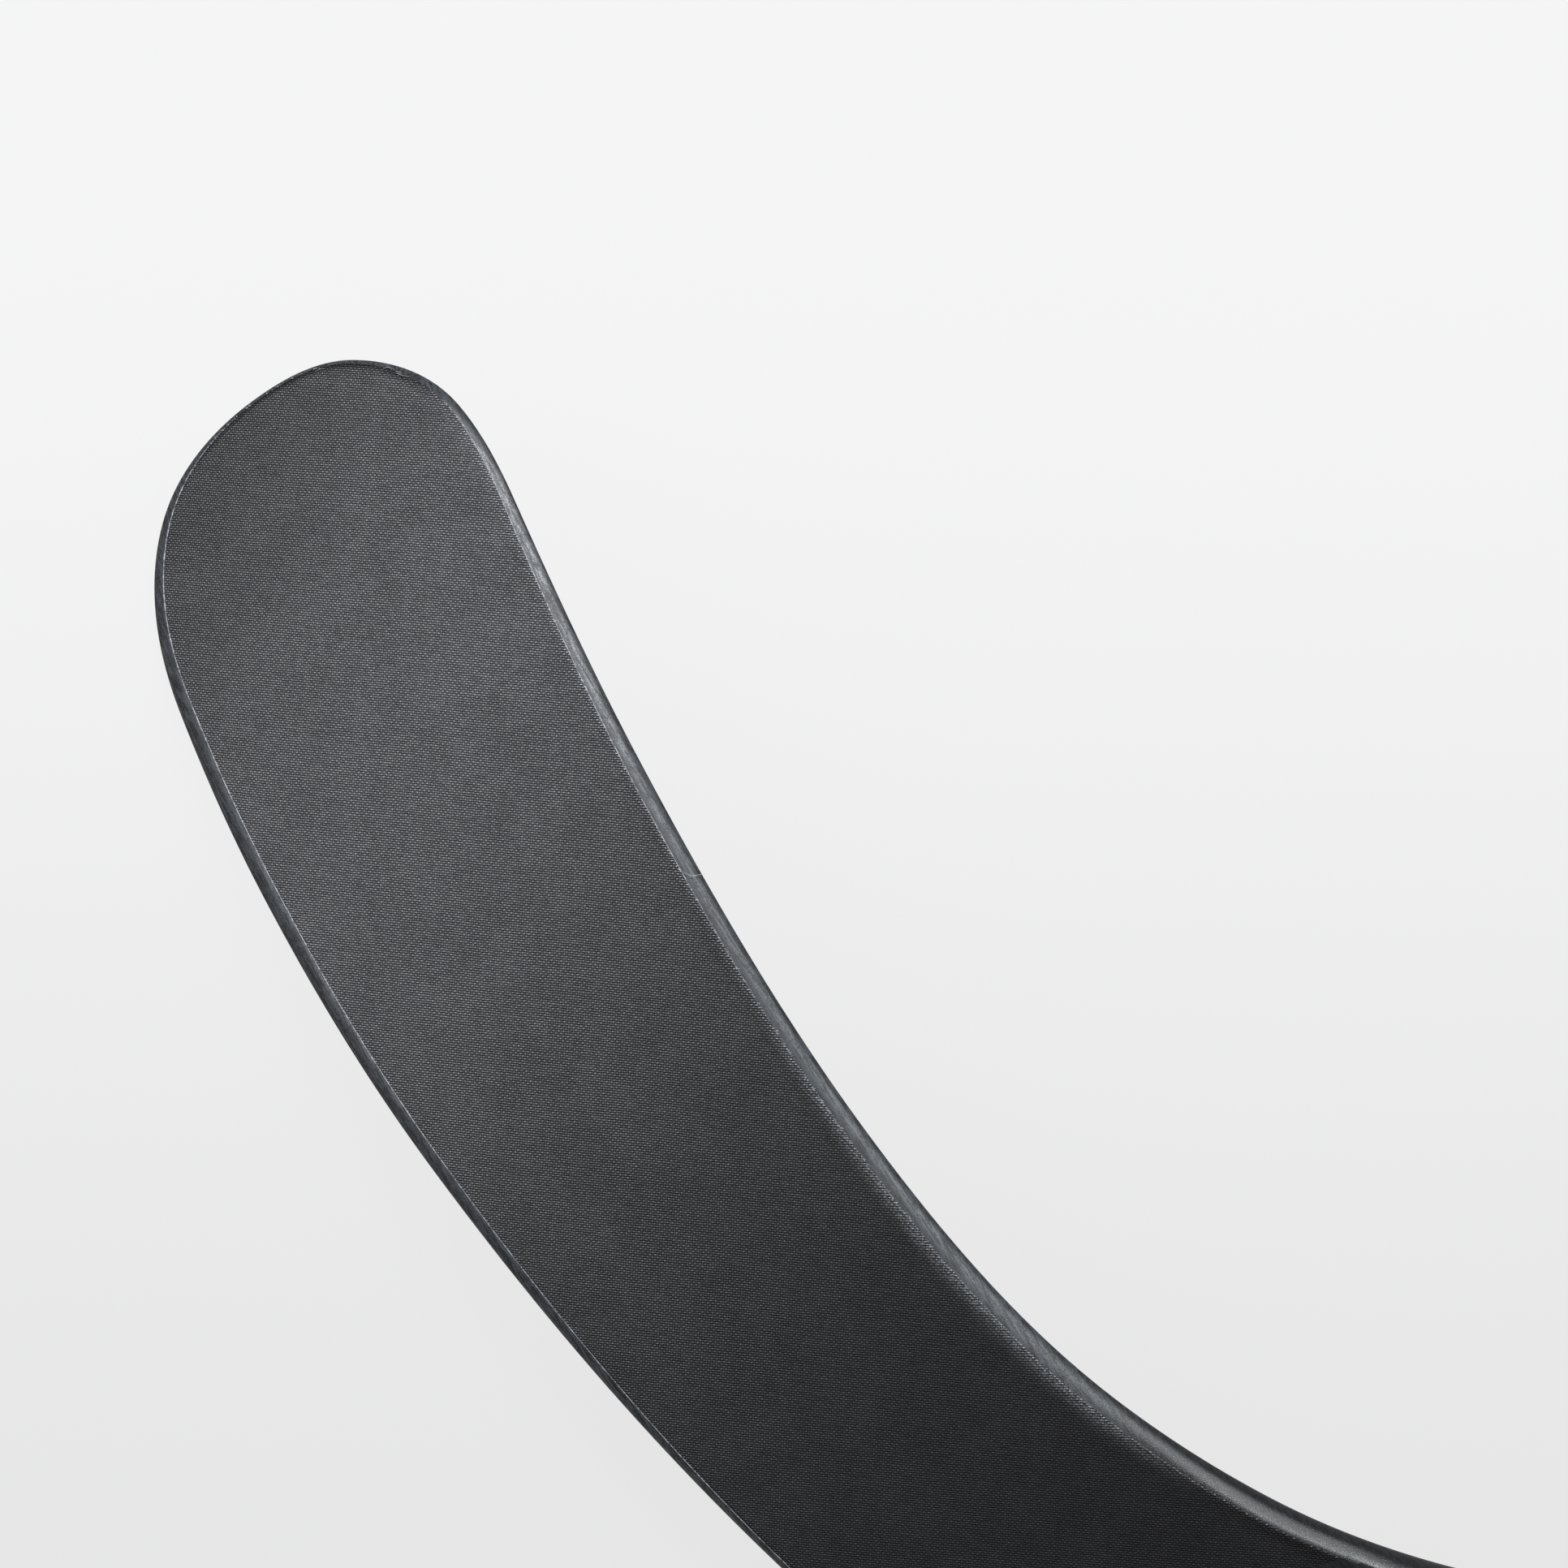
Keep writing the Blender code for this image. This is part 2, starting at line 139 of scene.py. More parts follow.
# A low ridge runs along the top edge near the heel.
RIDGE_HEIGHT = 0.0006
RIDGE_FIRST_X = 0.042
RIDGE_FULL_X = 0.072
RIDGE_INSET = 0.0034
RIDGE_WIDTH = 0.0013
RIDGE_MARGIN = 0.001

# Rows of points across the band, the cloth and the hosel.
BAND_STEPS = 14
BAND_LIP = 0.0005
CLOTH_RINGS = (
    0.00004, 0.00014, 0.0003, 0.0006, 0.0010, 0.0014, 0.0018,
    0.0023, 0.0028, 0.0034, 0.0041, 0.0049, 0.0060, 0.0080,
)
CLOTH_EDGE_DROP = 0.00003
CLOTH_FEWER_POINTS = 10
HOSEL_STEPS = 56
HOSEL_ACROSS = 44
HOSEL_LOW_POWER = 1.15
HOSEL_SEAM = 1e-5
FAR_X = 0.4
SHARP_ANGLE = math.radians(40.0)

# Pale resin line along the cloth's border: it thins toward the heel and round the crown.
TOP_DIRECTION = 0.3
BEAD_INSET = 0.00006
BEAD_END = 0.160
BEAD_RADIUS = 0.00014
BEAD_SIDES = 5
BEAD_WOBBLE = 900.0
BEAD_TOP_LOSS = 0.88
BEAD_BOTTOM_LOSS = 0.35
BEAD_FADE_START = 0.105
BEAD_FADE = 0.05
BEAD_CROWN_Y = 0.178
BEAD_CROWN_X = -0.118
BEAD_CROWN_FADE = 0.010
BEAD_CROWN_LOSS = 0.9

# Cut thread ends along the cloth's top border.
THREAD_INSET = 0.0001
THREAD_SPACING = 0.0009
THREAD_FIRST_Y = 0.062
THREAD_LAST_Y = 0.199
THREAD_MISSING = 0.25
THREAD_LENGTHS = (0.0002, 0.0007)
THREAD_RADII = (0.00006, 0.00011)
THREAD_BACK = 0.0002
THREAD_LEAN = 0.5
THREAD_RISE = 0.00008
THREAD_TIP = 0.4
THREAD_SIDES = 4
THREAD_SEED = 7

# Loose fibres: points as (x, y, height over the middle plane), in millimetres of the flat plan.
FIBRE_RADIUS = 0.00005
FIBRE_STEPS = 6
FIBRE_SIDES = 5
FIBRE_TAPER = 0.6
FIBRES = {
    "loose_fibre_long": (
        (-62.1, 120.6, 2.75),
        (-60.9, 120.6, 2.8),
        (-59.4, 120.2, 2.6),
        (-57.8, 120.8, 1.9),
        (-56.6, 121.2, 1.6),
    ),
    "loose_fibre_crown": ((-155.3, 198.9, 1.95), (-154.4, 199.5, 2.1), (-153.2, 199.9, 1.95)),
    "loose_fibre_corner": ((-140.8, 201.8, 1.8), (-139.6, 202.3, 2.0), (-138.6, 202.2, 1.8)),
    "loose_fibre_shoulder": ((-137.9, 201.6, 1.8), (-136.4, 201.3, 2.0), (-134.8, 201.2, 1.75)),
}

# Weave of the blade's cloth: yarns across the rows are WEAVE_ACROSS apart, rows are WEAVE_ROWS apart.
WEAVE_TURN = math.radians(6.3)
WEAVE_ACROSS = 0.4740
WEAVE_ROWS = 0.4506

# Look of the weave: drift of the yarns and their shape, which also sets the painted shade in the gaps,
# and how much painted shade darkens a yarn that lies under and how high it is.
SLOW_DRIFT = 0.6
QUICK_DRIFT = 0.16
CROSSING_CONTRAST = 2.5
ROW_POWER = 1.75
YARN_RISE = 0.55
YARN_LOW = 0.45
PICK_SPREAD = 0.44
PICK_LOW = 0.78
UNDER_YARN_SHADE = 0.48
UNDER_HEIGHT = 0.7
CLOTH_BUMP = 0.00005

# Where the pale flecks of painted sheen on the cloth's lit top border fade in and out.
FLECK_UPWARD = (0.66, 0.75)
FLECK_TOP_ZONE = (22.0, 30.0)
FLECK_START_ZONE = (-48.0, -18.0)
FLECK_END_ZONE = (30.0, 55.0)
FLECK_REACH = (0.2, 2.9)

# Along the band the lacquer darkens, grows smoother and changes its grain toward the shaft.
LACQUER_ZONE = (15.0, 60.0)
LACQUER_SHARE = 0.8
POLISH_ZONE = (25.0, 70.0)
POLISH = 0.17
GRAIN_ZONE = (-5.0, 30.0)
BAND_BUMP = 0.00006

# Cloth: its dark colour is the painted shade in the weave's gaps, its bright colour the painted glint on the
# yarn crests. Lacquer at the heel, and the direction of the band's streaks.
CLOTH_DARK = (0.006, 0.006, 0.007, 1.0)
CLOTH_GLINT = (0.158, 0.160, 0.163, 1.0)
CLOTH_METALLIC = 0.92
# Colour of the pale flecks that paint sheen on the cloth's lit top border.
SHEEN_FLECK_COLOUR = (0.125, 0.131, 0.14, 1.0)
HEEL_LACQUER = (0.008, 0.008, 0.009, 1.0)
STREAK_TURN = math.radians(-47.0)

# Stage, light and camera.
FLOOR_SIZE = 60.0
FLOOR_DROP = 0.0005
FLOOR_TOP = 0.878
FLOOR_BOTTOM = 0.765
FLOOR_REFLECTED = 0.20
WORLD_DIM = 0.125
CAMERA_PLACE = (-0.7093, -0.11354, 1.09317)
CAMERA_TURN = (8.299, -1.412, 9.395)
CAMERA_LENS = 131.09
SENSOR_WIDTH = 36.0


# ---------------------------------------------------------------- outline


def bezier(start, start_angle, end, end_angle, count):
    """Points of a cubic curve between two knots with given directions, without the last one."""
    chord = (end - start).length
    reach = chord / 3.0 / math.cos(abs(end_angle - start_angle) / 4.0) ** 2
    first = start + reach * Vector((math.cos(start_angle), math.sin(start_angle)))
    second = end - reach * Vector((math.cos(end_angle), math.sin(end_angle)))
    points = []
    for step in range(count):
        t = step / count
        u = 1.0 - t
        points.append(u**3 * start + 3 * u * u * t * first + 3 * u * t * t * second + t**3 * end)
    return points


class Edge:
    """What the stick's edge is like at one place of its outline: lengths in metres."""

    def __init__(self, band, rounding):
        self.band = band
        self.round = rounding
        self.ridge = 0.0
        self.power = EDGE_POWER
        self.outset = 0.0


def outline_points():
    """The stick's outline from the heel round the toe to the shaft, and the edge at each of its points."""
    points, edges = [], []
    for first, second in zip(OUTLINE_KNOTS, OUTLINE_KNOTS[1:]):
        start = Vector(first[1:3]) * MM
        end = Vector(second[1:3]) * MM
        count = math.ceil((end - start).length / STATION_STEP)
        points += bezier(start, math.radians(first[3]), end, math.radians(second[3]), count)
        for step in range(count):
            share = step / count
            band = first[4] + (second[4] - first[4]) * share
            rounding = first[5] + (second[5] - first[5]) * share
            edges.append(Edge(band * MM, rounding * MM))
    points.append(Vector(OUTLINE_KNOTS[-1][1:3]) * MM)
    edges.append(edges[-1])
    return points, edges


def outline_at(points, x, top):
    """The outline's point with this x, on its top or its bottom run; past its ends it is the shaft's side."""
    if x >= OUTLINE_KNOTS[-1 if top else 0][1] * MM:
        return Vector((x, SHAFT_WIDTH / 2 if top else -SHAFT_WIDTH / 2))
    runs = list(zip(points, points[1:]))
    if top:
        runs.reverse()
    for a, b in runs:
        if a.x != b.x and min(a.x, b.x) <= x <= max(a.x, b.x):
            return a.lerp(b, (x - a.x) / (b.x - a.x))
    return points[-1] if top else points[0]


def tangents(points):
    """Unit direction of travel at each point of a polyline."""
    result = []
    for i in range(len(points)):
        ahead = points[min(i + 1, len(points) - 1)]
        behind = points[max(i - 1, 0)]
        result.append((ahead - behind).normalized())
    return result


def inward(direction):
    """The outline is walked clockwise, so its inner side is on the right."""
    return Vector((direction.y, -direction.x))


def smooth(share):
    """Eases a share from 0 to 1."""
    share = min(1.0, max(0.0, share))
    return share * share * (3.0 - 2.0 * share)


def side_of(point, low, high):
    """Positive on the blade's side of the joint line, in metres."""
    across = (high - low).x * (point - low).y - (high - low).y * (point - low).x
    return across / (high - low).length


OUTLINE, OUTLINE_EDGES = outline_points()
JOINT_LOW = outline_at(OUTLINE, JOINT_LOW_X, top=False)
JOINT_HIGH = outline_at(OUTLINE, JOINT_HIGH_X, top=True)


def smoothed(values, reach):
    """Running average, so that widths change without corners along the outline."""
    count = len(values)
    return [float(np.mean(values[max(0, i - reach) : min(count, i + reach + 1)])) for i in range(count)]


def nearest_edge(point):
    """The edge data of the outline's point nearest to a place."""
    index = min(range(len(OUTLINE)), key=lambda i: (OUTLINE[i] - point).length_squared)
    return OUTLINE_EDGES[index]


def outline_distance(point, top):
    """Distance of a plan point from the outline's top or bottom run."""
    chosen = TOP_RUN if top else ~TOP_RUN
    start, end = RUN_STARTS[chosen], RUN_ENDS[chosen]
    here = np.array(point)
    along = end - start
    share = np.clip(((here - start) * along).sum(1) / (along * along).sum(1), 0.0, 1.0)
    nearest = start + along * share[:, None]
    return float(np.sqrt(((here - nearest) ** 2).sum(1).min()))


def straight_run(start, end):
    """Evenly spaced points of a straight line, without its end."""
    count = math.ceil((end - start).length / STATION_STEP)
    return [start.lerp(end, step / count) for step in range(count)]


def heel_edges():
    """Edge data of the straight run at the heel, whose outset is gone where the hosel begins."""
    first = OUTLINE_EDGES[0]
    result = []
    for point in HEEL_RUN:
        edge = Edge(first.band, first.round)
        edge.power = first.power
        edge.outset = first.outset * smooth((JOINT_LOW.x - point.x) / HEEL_OUTSET_FADE)
        result.append(edge)
    return result


def prepare_edges():
    """Smooths the edge's widths along the outline, and raises the ridge along the top near the heel."""
    bands = smoothed([edge.band for edge in OUTLINE_EDGES], EDGE_SMOOTHING)
    rounds = smoothed([edge.round for edge in OUTLINE_EDGES], EDGE_SMOOTHING)
    for index, (point, edge, band, rounding) in enumerate(zip(OUTLINE, OUTLINE_EDGES, bands, rounds)):
        edge.band, edge.round = band, rounding
        flat = smooth((point.x - ELLIPSE_FIRST_X) / ELLIPSE_FADE) if index > CROWN else 1.0
        edge.power = EDGE_POWER + (ELLIPSE_POWER - EDGE_POWER) * flat
        if index <= CROWN:
            edge.outset = BOTTOM_OUTSET * smooth((OUTSET_LAST_Y - point.y) / OUTSET_FADE)
        if point.y > SHAFT_WIDTH / 2 - RIDGE_MARGIN:
            edge.ridge = RIDGE_HEIGHT * smooth((point.x - RIDGE_FIRST_X) / (RIDGE_FULL_X - RIDGE_FIRST_X))


CROWN = max(range(len(OUTLINE)), key=lambda i: OUTLINE[i].y)
OUTLINE_TANGENTS = tangents(OUTLINE)
prepare_edges()
RUN_POINTS = [Vector((FAR_X, -SHAFT_WIDTH / 2))] + OUTLINE + [Vector((FAR_X, SHAFT_WIDTH / 2))]
RUN_STARTS = np.array([tuple(point) for point in RUN_POINTS[:-1]])
RUN_ENDS = np.array([tuple(point) for point in RUN_POINTS[1:]])
TOP_RUN = np.arange(len(RUN_STARTS)) >= RUN_POINTS.index(OUTLINE[CROWN])
INSIDE = [i for i, p in enumerate(OUTLINE) if side_of(p, JOINT_LOW, JOINT_HIGH) > BAND_JOINT_MARGIN]
HEEL_RUN = straight_run(JOINT_LOW, OUTLINE[INSIDE[0]])
BLADE_OUTLINE = HEEL_RUN + [OUTLINE[i] for i in INSIDE] + [JOINT_HIGH]
BLADE_TANGENTS = tangents(BLADE_OUTLINE)
BLADE_EDGES = heel_edges() + [OUTLINE_EDGES[i] for i in INSIDE] + [nearest_edge(JOINT_HIGH)]


# ---------------------------------------------------------------- thickness and surface


def blade_half(point):
    """Half the blade's thickness at a point of the flat plan."""
    along = Vector((point[0], point[1])).dot(BLADE_AXIS)
    share = (TOE_DISTANCE - along) / (TOE_DISTANCE - HEEL_DISTANCE)
    return TOE_HALF_THICKNESS + share * (HEEL_HALF_THICKNESS - TOE_HALF_THICKNESS)


def surface_height(point, inset, edge, grow=0.0):
    """Height of the stick's upper surface above its middle plane; grow goes from blade, 0, to shaft, 1."""
    half = blade_half(point) * (1.0 - grow) + SHAFT_THICKNESS / 2 * grow
    rounding = edge.round * (1.0 - grow) + SHAFT_CORNER * grow
    rise = half * (1.0 - grow) + min(half, SHAFT_CORNER) * grow
    reach = min(1.0, inset / rounding)
    ridge = edge.ridge * (1.0 - grow) * math.exp(-(((inset - RIDGE_INSET) / RIDGE_WIDTH) ** 2))
    power = edge.power * (1.0 - grow) + ELLIPSE_POWER * grow
    return half - rise + rise * max(0.0, 1.0 - (1.0 - reach) ** power) ** (1.0 / power) + ridge


# ---------------------------------------------------------------- bending and placing


def bend_table():
    """Turn, run and drop of the bent blade against distance from where the bend starts."""
    step = 0.0005
    distance = np.arange(0.0, BEND_TOTAL - BEND_START + 0.05, step)
    ramp = BEND_FULL - BEND_START
    curvature = np.where(
        distance < ramp,
        BEND_CURVATURE * distance / ramp,
        BEND_CURVATURE + BEND_GROWTH * (distance - ramp),
    )
    turn = np.concatenate(([0.0], np.cumsum((curvature[1:] + curvature[:-1]) / 2 * step)))
    cosine, sine = np.cos(turn), np.sin(turn)
    run = np.concatenate(([0.0], np.cumsum((cosine[1:] + cosine[:-1]) / 2 * step)))
    drop = np.concatenate(([0.0], np.cumsum((sine[1:] + sine[:-1]) / 2 * step)))
    return distance, turn, run, drop


BEND = bend_table()
BEND_AXIS = Vector((math.cos(BEND_ANGLE), math.sin(BEND_ANGLE), 0.0))


def bend_distance(point):
    """How far a flat point lies along the bend, from where the bend starts."""
    return point.dot(BEND_AXIS) - BEND_OFFSET - BEND_START


def bent(point):
    """Moves a flat point onto the bent blade."""
    reach = bend_distance(point)
    if reach <= 0.0:
        return point.copy()
    distance, turn, run, drop = BEND
    angle = float(np.interp(reach, distance, turn))
    start = point - BEND_AXIS * reach
    start.z = 0.0
    middle = start + BEND_AXIS * float(np.interp(reach, distance, run))
    middle.z -= float(np.interp(reach, distance, drop))
    normal = BEND_AXIS * math.sin(angle) + Vector((0.0, 0.0, math.cos(angle)))
    return middle + normal * point.z


def resting_place():
    """The turn and shift from the stick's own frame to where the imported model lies."""
    upper = [m for m in frame["record"]["mounts"] if m["name"] == "shaft_upper_face"][0]
    roll = math.atan2(-upper["axis"][1], upper["axis"][2])
    low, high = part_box("butt_cap")
    end = SHAFT_END + CAP_GAP + CAP_THICKNESS
    shift = Vector((high.x - end, (low.y + high.y) / 2, (low.z + high.z) / 2))
    return Matrix.Translation(shift) @ Matrix.Rotation(roll, 4, "X")


PLACE = resting_place()


# ---------------------------------------------------------------- pieces


class Body:
    """A mesh in the flat plan that remembers each point's plan place and its distance from the edge."""

    def __init__(self):
        self.mesh = bmesh.new()
        self.plan = self.mesh.verts.layers.float_vector.new("plan")
        self.edge = self.mesh.verts.layers.float.new("edge")

    def point(self, place, height, inset):
        """A vertex that keeps its plan place and its inset in millimetres, for the materials."""
        vertex = self.mesh.verts.new((place.x, place.y, height))
        vertex[self.plan] = Vector((place.x, place.y, height)) / MM
        vertex[self.edge] = inset / MM
        return vertex

    def strip(self, first, second):
        """Faces between two rows with the same number of points."""
        for i in range(len(first) - 1):
            self.mesh.faces.new((first[i], first[i + 1], second[i + 1], second[i]))

    def slice_for_bend(self, spacing):
        """Cuts large faces into slices across the bend, so that they can follow it."""
        reaches = [bend_distance(vertex.co) for vertex in self.mesh.verts]
        level = max(min(reaches), 0.0) + spacing * 0.5
        while level < max(reaches) - spacing * 0.2:
            place = BEND_AXIS * (level + BEND_OFFSET + BEND_START)
            everything = self.mesh.verts[:] + self.mesh.edges[:] + self.mesh.faces[:]
            bmesh.ops.bisect_plane(
                self.mesh, geom=everything, dist=1e-7, plane_co=place, plane_no=BEND_AXIS
            )
            level += spacing

    def finish(self, name, material, replaced=()):
        """Bends and places the mesh, and makes it a piece that rides on the stick."""
        for vertex in self.mesh.verts:
            vertex.co = PLACE @ bent(vertex.co)
        bmesh.ops.recalc_face_normals(self.mesh, faces=self.mesh.faces[:])
        data = bpy.data.meshes.new(name)
        self.mesh.to_mesh(data)
        self.mesh.free()
        data.materials.append(material)
        data.shade_smooth()
        data.set_sharp_from_angle(angle=SHARP_ANGLE)
        made = bpy.data.objects.new(name, data)
        bpy.context.scene.collection.objects.link(made)
        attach(made, "root")
        if replaced:
            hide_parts(*replaced)
        return made


def edge_band(material):
    """The smooth band round the blade: rounded outside and upright inside."""
    body = Body()
    rows = []
    for index, (point, edge) in enumerate(zip(BLADE_OUTLINE, BLADE_EDGES)):
        direction = BLADE_TANGENTS[index]
        side = inward(direction)
        upper = []
        for step in range(BAND_STEPS + 1):
            inset = edge.band * (step / BAND_STEPS) ** 2
            place = point + side * (inset - edge.outset * (1.0 - step / BAND_STEPS))
            if index == 0:
                place = joint_meet(place, direction, JOINT_LOW, JOINT_HIGH)
            upper.append((place, surface_height(place, inset, edge), inset))
        last_place, last_height, last_inset = upper[-1]
        lip = last_height - BAND_LIP
        row = [body.point(last_place, -lip, last_inset)]
        row += [body.point(place, -height, inset) for place, height, inset in reversed(upper)]
        row += [body.point(place, height, inset) for place, height, inset in upper[1:]]
        row.append(body.point(last_place, lip, last_inset))
        rows.append(row)
    for first, second in zip(rows, rows[1:]):
        body.strip(first, second)
        body.mesh.faces.new((first[-1], first[0], second[0], second[-1]))
    body.mesh.faces.new(rows[0])
    body.mesh.faces.new(list(reversed(rows[-1])))
    return body.finish("blade_band", material, ["blade_edge_band"])


def joint_meet(point, direction, low, high):
    """Where a line through point meets the joint line."""
    along = high - low
    offset = low - point
    share = (offset.x * along.y - offset.y * along.x) / (direction.x * along.y - direction.y * along.x)
    return point + share * direction


def cloth_ring(extra):
    """One line of the cloth, at a distance inside the band, from the joint round the toe to the joint."""
    ring = []
    for point, direction, edge in zip(BLADE_OUTLINE, BLADE_TANGENTS, BLADE_EDGES):
        inset = edge.band + extra
        place = point + inward(direction) * inset
        if side_of(place, JOINT_LOW, JOINT_HIGH) > CLOTH_JOINT_MARGIN:
            ring.append((place, inset, edge))
    start = joint_meet(ring[0][0], ring[1][0] - ring[0][0], JOINT_LOW, JOINT_HIGH)
    end = joint_meet(ring[-1][0], ring[-1][0] - ring[-2][0], JOINT_LOW, JOINT_HIGH)
    return [(start, ring[0][1], ring[0][2])] + ring + [(end, ring[-1][1], ring[-1][2])]


def resample(ring, count):
    """The ring's entries at equal steps along it, so that all rings have the same number."""
    lengths = [0.0]
    for (a, _, _), (b, _, _) in zip(ring, ring[1:]):
        lengths.append(lengths[-1] + (b - a).length)
    result = []
    index = 0
    for step in range(count):
        wanted = lengths[-1] * step / (count - 1)
        while index < len(ring) - 2 and lengths[index + 1] < wanted:
            index += 1
        span = lengths[index + 1] - lengths[index]
        share = (wanted - lengths[index]) / span if span else 0.0
        place = ring[index][0].lerp(ring[index + 1][0], min(1.0, share))
        result.append((place, ring[index][1], ring[index][2]))
    return result


def blade_cloth(name, material, up, replaced):
    """One woven face of the blade, rounded down toward the band."""
    body = Body()
    count = len(BLADE_OUTLINE) - CLOTH_FEWER_POINTS
    sign = 1.0 if up else -1.0
    rings = [resample(cloth_ring(extra), count) for extra in CLOTH_RINGS]
    outer_low = []
    made = []
    for place, inset, edge in rings[0]:
        height = surface_height(place, inset, edge) - SKIN
        outer_low.append(body.point(place, sign * height, inset - edge.band))
    for index, ring in enumerate(rings):
        row = []
        for place, inset, edge in ring:
            height = surface_height(place, inset, edge)
            if index == 0:
                height -= CLOTH_EDGE_DROP
            row.append(body.point(place, sign * height, inset - edge.band))
        made.append(row)
    body.strip(outer_low, made[0])
    for first, second in zip(made, made[1:]):
        body.strip(first, second)
    body.mesh.faces.new(made[-1])
    body.mesh.faces.new(outer_low)
    ends = [outer_low[0]] + [row[0] for row in made] + [row[-1] for row in reversed(made)]
    ends.append(outer_low[-1])
    body.mesh.faces.new(ends)
    body.slice_for_bend(SLICE)
    return body.finish(name, material, replaced)


def hosel_row(low, high, grow):
    """Points across the hosel on one section: place, height and inset, from the low edge to the high one."""
    low_edge, high_edge = OUTLINE_EDGES[0], nearest_edge(high)
    entries = []
    for step in range(HOSEL_ACROSS + 1):
        share = 0.5 - 0.5 * math.cos(math.pi * step / HOSEL_ACROSS)
        place = low.lerp(high, share)
        near_low, near_high = outline_distance(place, False), outline_distance(place, True)
        edge = high_edge if near_high < near_low else low_edge
        inset = min(near_low, near_high)
        entries.append((place, surface_height(place, inset, edge, grow), inset))
    return entries


def hosel(material):
    """The swelling length between the blade and the shaft."""
    body = Body()
    uppers, lowers = [], []
    for step in range(HOSEL_STEPS + 1):
        share = step / HOSEL_STEPS
        low_x = JOINT_LOW_X + (SHAFT_START - JOINT_LOW_X) * share**HOSEL_LOW_POWER
        high_x = JOINT_HIGH_X + (SHAFT_START - JOINT_HIGH_X) * share
        low = outline_at(OUTLINE, low_x, top=False)
        high = outline_at(OUTLINE, high_x, top=True)
        entries = hosel_row(low, high, smooth(share))
        uppers.append([body.point(place, height, inset) for place, height, inset in entries])
        lowers.append([body.point(place, -height - HOSEL_SEAM, inset) for place, height, inset in entries])
    for index in range(HOSEL_STEPS):
        body.strip(uppers[index], uppers[index + 1])
        body.strip(lowers[index], lowers[index + 1])
        for end in (0, -1):
            corners = (
                uppers[index][end],
                uppers[index + 1][end],
                lowers[index + 1][end],
                lowers[index][end],
            )
            body.mesh.faces.new(corners)
    body.mesh.faces.new(uppers[0] + lowers[0][::-1])
    body.mesh.faces.new(uppers[-1] + lowers[-1][::-1])
    return body.finish("hosel_skin", material, ["hosel_shell"])


def box_ring(body, x, inset=0.0):
    """The shaft's rounded section at x."""
    ring = []
    corner = SHAFT_CORNER - inset
    half_wide, half_deep = SHAFT_WIDTH / 2 - inset, SHAFT_THICKNESS / 2 - inset
    for across, deep, first in ((1, 1, 0), (-1, 1, 90), (-1, -1, 180), (1, -1, 270)):
        for step in range(CORNER_STEPS + 1):
            angle = math.radians(first + 90 * step / CORNER_STEPS)
            y = across * (half_wide - corner) + corner * math.cos(angle)
            z = deep * (half_deep - corner) + corner * math.sin(angle)
            ring.append(body.point(Vector((x, y)), z, inset))
    return ring


def loft(body, rings):
    """Closes rings into a body."""
    for first, second in zip(rings, rings[1:]):
        for i in range(len(first)):
            j = (i + 1) % len(first)
            body.mesh.faces.new((first[i], first[j], second[j], second[i]))
    body.mesh.faces.new(rings[0])
    body.mesh.faces.new(rings[-1][::-1])


def shaft(material):
    """The straight box-section shaft."""
    body = Body()
    xs = [SHAFT_START + (SHAFT_END - SHAFT_START) * i / SHAFT_PIECES for i in range(SHAFT_PIECES + 1)]
    loft(body, [box_ring(body, x) for x in xs])
    return body.finish("shaft_skin", material, ["shaft_outer_ply"])


def butt_cap(material):
    """The cap on the butt, with a rounded rim and a shallow dish in its end."""
    body = Body()
    start = SHAFT_END + CAP_GAP
    end = start + CAP_THICKNESS
    rings = [box_ring(body, start - CAP_NECK_LENGTH, CAP_NECK_INSET), box_ring(body, start, CAP_NECK_INSET)]
    rings += [box_ring(body, start, CAP_BEVEL), box_ring(body, start + CAP_BEVEL, 0.0)]
    for step in range(CAP_ROUND_STEPS + 1):
        angle = math.radians(90 * step / CAP_ROUND_STEPS)
        x = end - CAP_ROUNDING * (1 - math.sin(angle))
        rings.append(box_ring(body, x, CAP_ROUNDING * (1 - math.cos(angle))))
    rings.append(box_ring(body, end, CAP_DISH_RIM))
    rings.append(box_ring(body, end - CAP_DISH_DEPTH, CAP_DISH_INSET))
    loft(body, rings)
    return body.finish("butt_cap_skin", material, ["butt_cap"])


def tube(body, path, radii, sides):
    """A round thread along a path of flat-plan points (place, height)."""
    rings = []
    for index, (place, height) in enumerate(path):
        ahead = path[min(index + 1, len(path) - 1)][0]
        behind = path[max(index - 1, 0)][0]
        side = inward((ahead - behind).normalized())
        ring = []
        for step in range(sides):
            angle = 2 * math.pi * step / sides
            offset = side * radii[index] * math.cos(angle)
            ring.append(body.point(place + offset, height + radii[index] * math.sin(angle), 0.0))
        rings.append(ring)
    loft(body, rings)


def cloth_border(extra):
    """The line where cloth and band meet, as (place, height, direction)."""
    line = []
    for point, direction, edge in zip(BLADE_OUTLINE, BLADE_TANGENTS, BLADE_EDGES):
        inset = edge.band + extra
        place = point + inward(direction) * inset
        if side_of(place, JOINT_LOW, JOINT_HIGH) > BORDER_JOINT_MARGIN:
            line.append((place, surface_height(place, inset, edge), direction))
    return line


